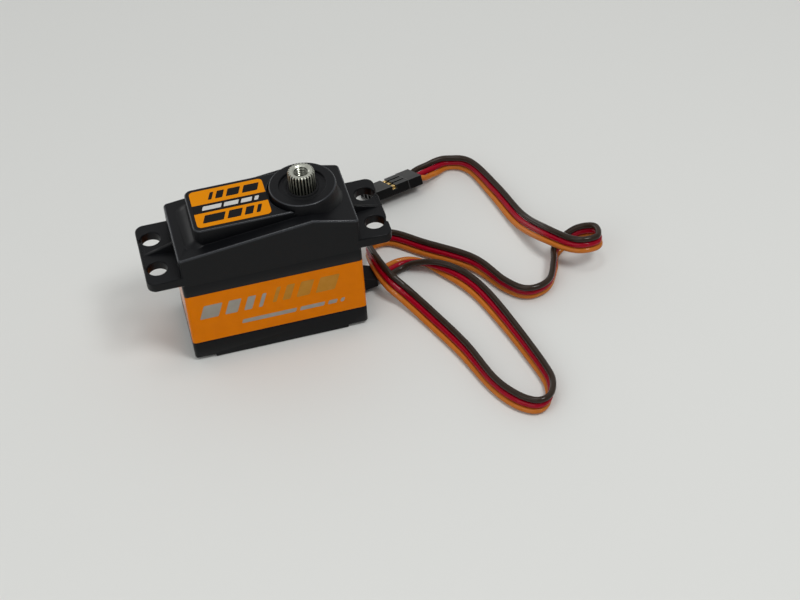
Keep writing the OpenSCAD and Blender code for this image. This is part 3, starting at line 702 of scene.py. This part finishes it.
def print_marks(name, ink, marks, corner, place, lean=0.35):
    """Plain printed bars as thin raised patches: each is left, low, right and high."""
    thickness = 0.06
    bm = bmesh.new()
    for left, low, right, high in marks:
        cell = bmesh.ops.create_cube(bm, size=1)["verts"]
        bmesh.ops.scale(bm, vec=(right - left, high - low, thickness), verts=cell)
        for v in cell:
            v.co.x += lean * v.co.y
        bmesh.ops.translate(bm, vec=((left + right) / 2, (low + high) / 2, 0), verts=cell)
    round_off(bm, upright(bm.edges), corner, 3)
    bmesh.ops.transform(bm, matrix=place, verts=bm.verts)
    finished(with_finishes(made(bm), ink), name)


def row(start, low, high, widths, gap):
    """Marks side by side from a start, with the same gap between them."""
    marks = []
    for width in widths:
        marks.append((start, low, start + width, high))
        start += width + gap
    return marks


def label_print():
    """Plain bars on both labels, in the colours and sizes of such a servo's print."""
    top = Matrix.Translation((0, 0, DECK_TOP + FILM))
    over_band = Matrix.Translation((0, 0, DECK_TOP + FILM + 0.02))
    front = (Matrix.Translation((0, -CASE_SIDE - FILM_OUT, 0))
             @ Matrix.Rotation(math.radians(90), 4, "X"))
    print_marks("top_label_band", black_ink, [(-14.4, -1.5, 2, 1.3)], 0.01, top, 0)
    print_marks("top_label_white_marks", white_ink,
                row(-12.3, -0.75, 0.55, (4.2, 3.2, 2.4, 0.9), 0.6), 0.15, over_band)
    print_marks("top_label_black_marks", black_ink,
                row(-12.6, -4.9, -2.4, (4.6, 3, 1.8, 0.9), 0.8)
                + row(-10.2, 2.5, 4.9, (0.8, 1.6, 2.8, 3.4), 0.8), 0.2, top)
    print_marks("side_label_silver_marks", silver_ink,
                row(-17, 12.4, 16.2, (4.2, 2.8, 1.8, 0.9), 1.5)
                + row(-8.4, 8.6, 9.7, (12.4, 5.6, 2, 0.8), 0.9), 0.25, front)
    print_marks("side_label_gold_marks", gold_ink, row(-0.4, 12.9, 17.2, (0.9, 1.8, 3, 4.4), 1.4),
                0.3, front)


# ---- Shaft ----

def splined_shaft():
    """The output shaft: journals below, a 25-tooth spline above and a threaded bore."""
    teeth, crest, root = 25, 2.98, 2.5
    crest_shares = (1, 1, 0.8, 0.1, 0, 0, 0.1, 0.8)
    steps = len(crest_shares)
    start = 35.1
    bm = bmesh.new()
    ring = bmesh.ops.create_circle(bm, segments=teeth * steps, radius=1)["verts"]
    unit = {v: (v.co.xy.copy(), i) for i, v in enumerate(ring)}
    edges = list({e for v in ring for e in v.link_edges})

    def level(verts, source, height, limit=math.inf, bore=None):
        """Puts a ring at a height: toothed, but nowhere past the limit, or round as a bore."""
        for v in verts:
            direction, i = source[v]
            tooth = root + (crest - root) * crest_shares[i % steps]
            v.co = (*(direction * (min(tooth, limit) if bore is None else bore)), height)

    level(ring, unit, start)
    top = [(SHAFT_TOP - 0.4, math.inf, None), (SHAFT_TOP - 0.15, 2.86, None),
           (SHAFT_TOP, 2.55, None), (SHAFT_TOP, math.inf, 1.95),
           (SHAFT_TOP - 0.25, math.inf, 1.58)]
    thread = [(SHAFT_TOP - 0.5 - 0.25 * k, math.inf, 1.2 if k % 2 else 1.55) for k in range(31)]
    for height, limit, bore in top + thread:
        near = {tuple(round(c, 5) for c in v.co): unit[v] for v in ring}
        new = bmesh.ops.extrude_edge_only(bm, edges=edges)["geom"]
        ring = only(bmesh.types.BMVert, new)
        edges = only(bmesh.types.BMEdge, new)
        unit = {v: near[tuple(round(c, 5) for c in v.co)] for v in ring}
        level(ring, unit, height, limit, bore)
    bmesh.ops.contextual_create(bm, geom=edges)
    bmesh.ops.translate(bm, vec=(OUT_X, 0, 0), verts=bm.verts)
    upper = made(bm)
    lower = lathe([(1.2, 18.2), (2, 18.2), (2, 27), (3, 27), (3, 34.9), (2.9, start), (0, start),
                   (0, 22.7), (1.2, 22.7)], 64)
    both = opened(upper)
    both.from_mesh(lower.data)
    bpy.data.objects.remove(lower)
    # Top faces get a painted highlight; faces in the bore and between the teeth get painted shade
    for face in both.faces:
        place = face.calc_center_median()
        reach = math.hypot(place.x - OUT_X, place.y)
        if place.z > SHAFT_TOP - 0.3:
            face.material_index = 1
        elif reach < 1.7 and place.z > 33:
            face.material_index = 3
        elif reach < 2.8 and place.z > 35.2:
            face.material_index = 2
    shaft = with_finishes(made(both), shaft_grey, shaft_painted_highlight, shaft_gap_painted_shade, shaft_bore_painted_shade)
    finished(shaded(shaft, 25), "splined_shaft", "output_shaft", body="output")


# ---- Connector and boot ----

WAYS = (-WAY_PITCH, 0, WAY_PITCH)


def plug_housing():
    """Three-way housing: a block at the wires, latch fingers over the contacts, a plain end."""
    body = fuse(box((-3.6, -3.85, -1.25), (0, 3.85, 1.25)),
                box((-14, -3.65, -1.25), (-3.5, 3.65, 1.2)))
    slots = [box((-7.2, y - 0.42, -0.6), (-3.6, y + 0.42, 2)) for y in (-1.27, 1.27)]
    sockets = [box((-15, y - 0.8, -0.8), (-3.9, y + 0.8, 0.65)) for y in WAYS]
    cut(body, box((-8, -4, 0.2), (-6.9, 4, 2)), *slots, *sockets)
    # The eased edges take the second finish, painted paler as a highlight
    ease(with_finishes(body, plug_black, plug_edge_wear_and_highlight), 0.08)
    body.data.transform(PLUG)
    return finished(body, "plug_housing", "connector_housing")


def plug_contacts():
    """Stamped contacts, whose tangs show past the fingers' ends."""
    bm = bmesh.new()
    for y in WAYS:
        add_box(bm, (-12, y - 0.65, -0.65), (-2, y + 0.65, 0.3))
        add_box(bm, (-7.8, y - 0.65, 0.25), (-7, y + 0.65, 0.95))
    bmesh.ops.transform(bm, matrix=PLUG, verts=bm.verts)
    contacts = ease(with_finishes(made(bm), plated_gold), 0.1)
    return finished(contacts, "plug_contacts", "connector_terminals")


def lead_boot():
    """Rubber boot: a plug in the base's wall and a nose that narrows around the lead."""
    plug = fuse(box((17.7, -1.1, 1.25), (18.5, 5.1, 5.25)),
                box((18.4, -0.6, 1.2), (20.3, 4.6, 5.3)))
    bm = bmesh.new()
    for x, near, far, low, high in ((CASE_END, -1, 5, 0.95, 5.05), (25, -0.6, 4.4, 1.5, 3.75)):
        outline = ((near, low), (far, low), (far, high), (near, high))
        bm.faces.new([bm.verts.new((x, y, z)) for y, z in outline])
    bmesh.ops.bridge_loops(bm, edges=bm.edges[:])
    boot = ease(with_finishes(fuse(plug, made(bm)), boot_rubber), 0.3, 3)
    finished(boot, "lead_boot", "lead_grommet")


# ---- Everything else on the case ----

lead, lead_line = three_wire_lead()
housing = plug_housing()
contacts = plug_contacts()

top_cover()
eased_copy("middle_case", "middle_shell", 0.05, case_black)
eased_copy("bottom_cover", "base_shell", 0.25, case_black)
side_label()
top_label()
label_print()
splined_shaft()
eased_copy("case_screws", "case_screw_set", 0.1, screw_steel)
eased_copy("output_seal", "shaft_seal", 0.1, boot_rubber)
lead_boot()


# ---- Pieces inside, which keep their CAD shapes ----

INNER_FINISHES = {
    "steel": screw_steel, "shaft_metal": shaft_grey, "motor_case": drawn_steel,
    "magnet": magnet_nickel, "gear_brass": gear_brass, "copper": coil_copper,
    "contact_gold": plated_gold, "black_rubber": boot_rubber, "black_resin": chip_resin,
    "blue_resin": blue_resin, "board_laminate": board_green, "wire_skin": red_skin,
    "case_plastic": case_black, "label_film": orange_film}

for part in frame["record"]["subparts"]:
    cad = frame["nodes"][part["node"]]
    finish = INNER_FINISHES[part["material_slot"]]
    cad.data.materials.clear()
    cad.data.materials.append(ground_steel if "bearing" in part["node"] else finish)


# ---- Floor and light ----

def floor():
    bm = bmesh.new()
    bmesh.ops.create_grid(bm, x_segments=1, y_segments=1, size=3)
    ground = made(bm, "floor")
    ground.location = (0, 0, -0.0001)
    finish, tree = new_finish("painted board, pale grey")
    paint = add(tree, "ShaderNodeBsdfPrincipled", {"Base Color": srgb("#DBDCD9"),
                "Roughness": 0.9, "Specular IOR Level": 0.2})
    add(tree, "ShaderNodeOutputMaterial", {"Surface": paint.outputs[0]})
    ground.data.materials.append(finish)


def lamp(name, place, aim, size, power):
    """A flat lamp of a width and a height that shines from a place at a point."""
    light = bpy.data.objects.new(name, bpy.data.lights.new(name, "AREA"))
    light.data.shape = "RECTANGLE"
    light.data.size, light.data.size_y = size
    light.data.energy = power
    light.location = place
    light.rotation_euler = (Vector(aim) - Vector(place)).to_track_quat("-Z", "Y").to_euler()
    bpy.context.scene.collection.objects.link(light)


def studio():
    world = bpy.data.worlds.new("studio")
    bpy.context.scene.world = world
    world.use_nodes = True
    world.node_tree.nodes.clear()
    # Brightest behind the servo and overhead, darker where the viewer stands
    direction = add(world.node_tree, "ShaderNodeTexCoord").outputs["Generated"]
    behind = add(world.node_tree, "ShaderNodeVectorMath", {0: direction, 1: (0, 0.75, 0.66)},
                 operation="DOT_PRODUCT")
    level = add(world.node_tree, "ShaderNodeMapRange", {"Value": behind.outputs["Value"],
                "From Min": -0.2, "From Max": 1, "To Min": 0.22, "To Max": 0.62})
    sky = add(world.node_tree, "ShaderNodeBackground", {"Color": srgb("#FFFFFF"),
              "Strength": level.outputs[0]})
    add(world.node_tree, "ShaderNodeOutputWorld", {"Surface": sky.outputs[0]})
    lamp("key", (0.22, -0.22, 0.56), (0, 0, 0), (0.16, 0.16), 1.25)
    lamp("softbox", (0.02, 0.02, 0.6), (0, 0, 0), (0.16, 0.16), 0.35)
    lamp("window", (-0.5, 0.6, 0.14), (0, 0, 0.03), (0.7, 0.25), 0.6)
    lamp("fill", (-0.3, -0.3, 0.4), (0, 0, 0), (0.5, 0.5), 0.75)
    bpy.context.scene.view_settings.view_transform = "Standard"


floor()
studio()
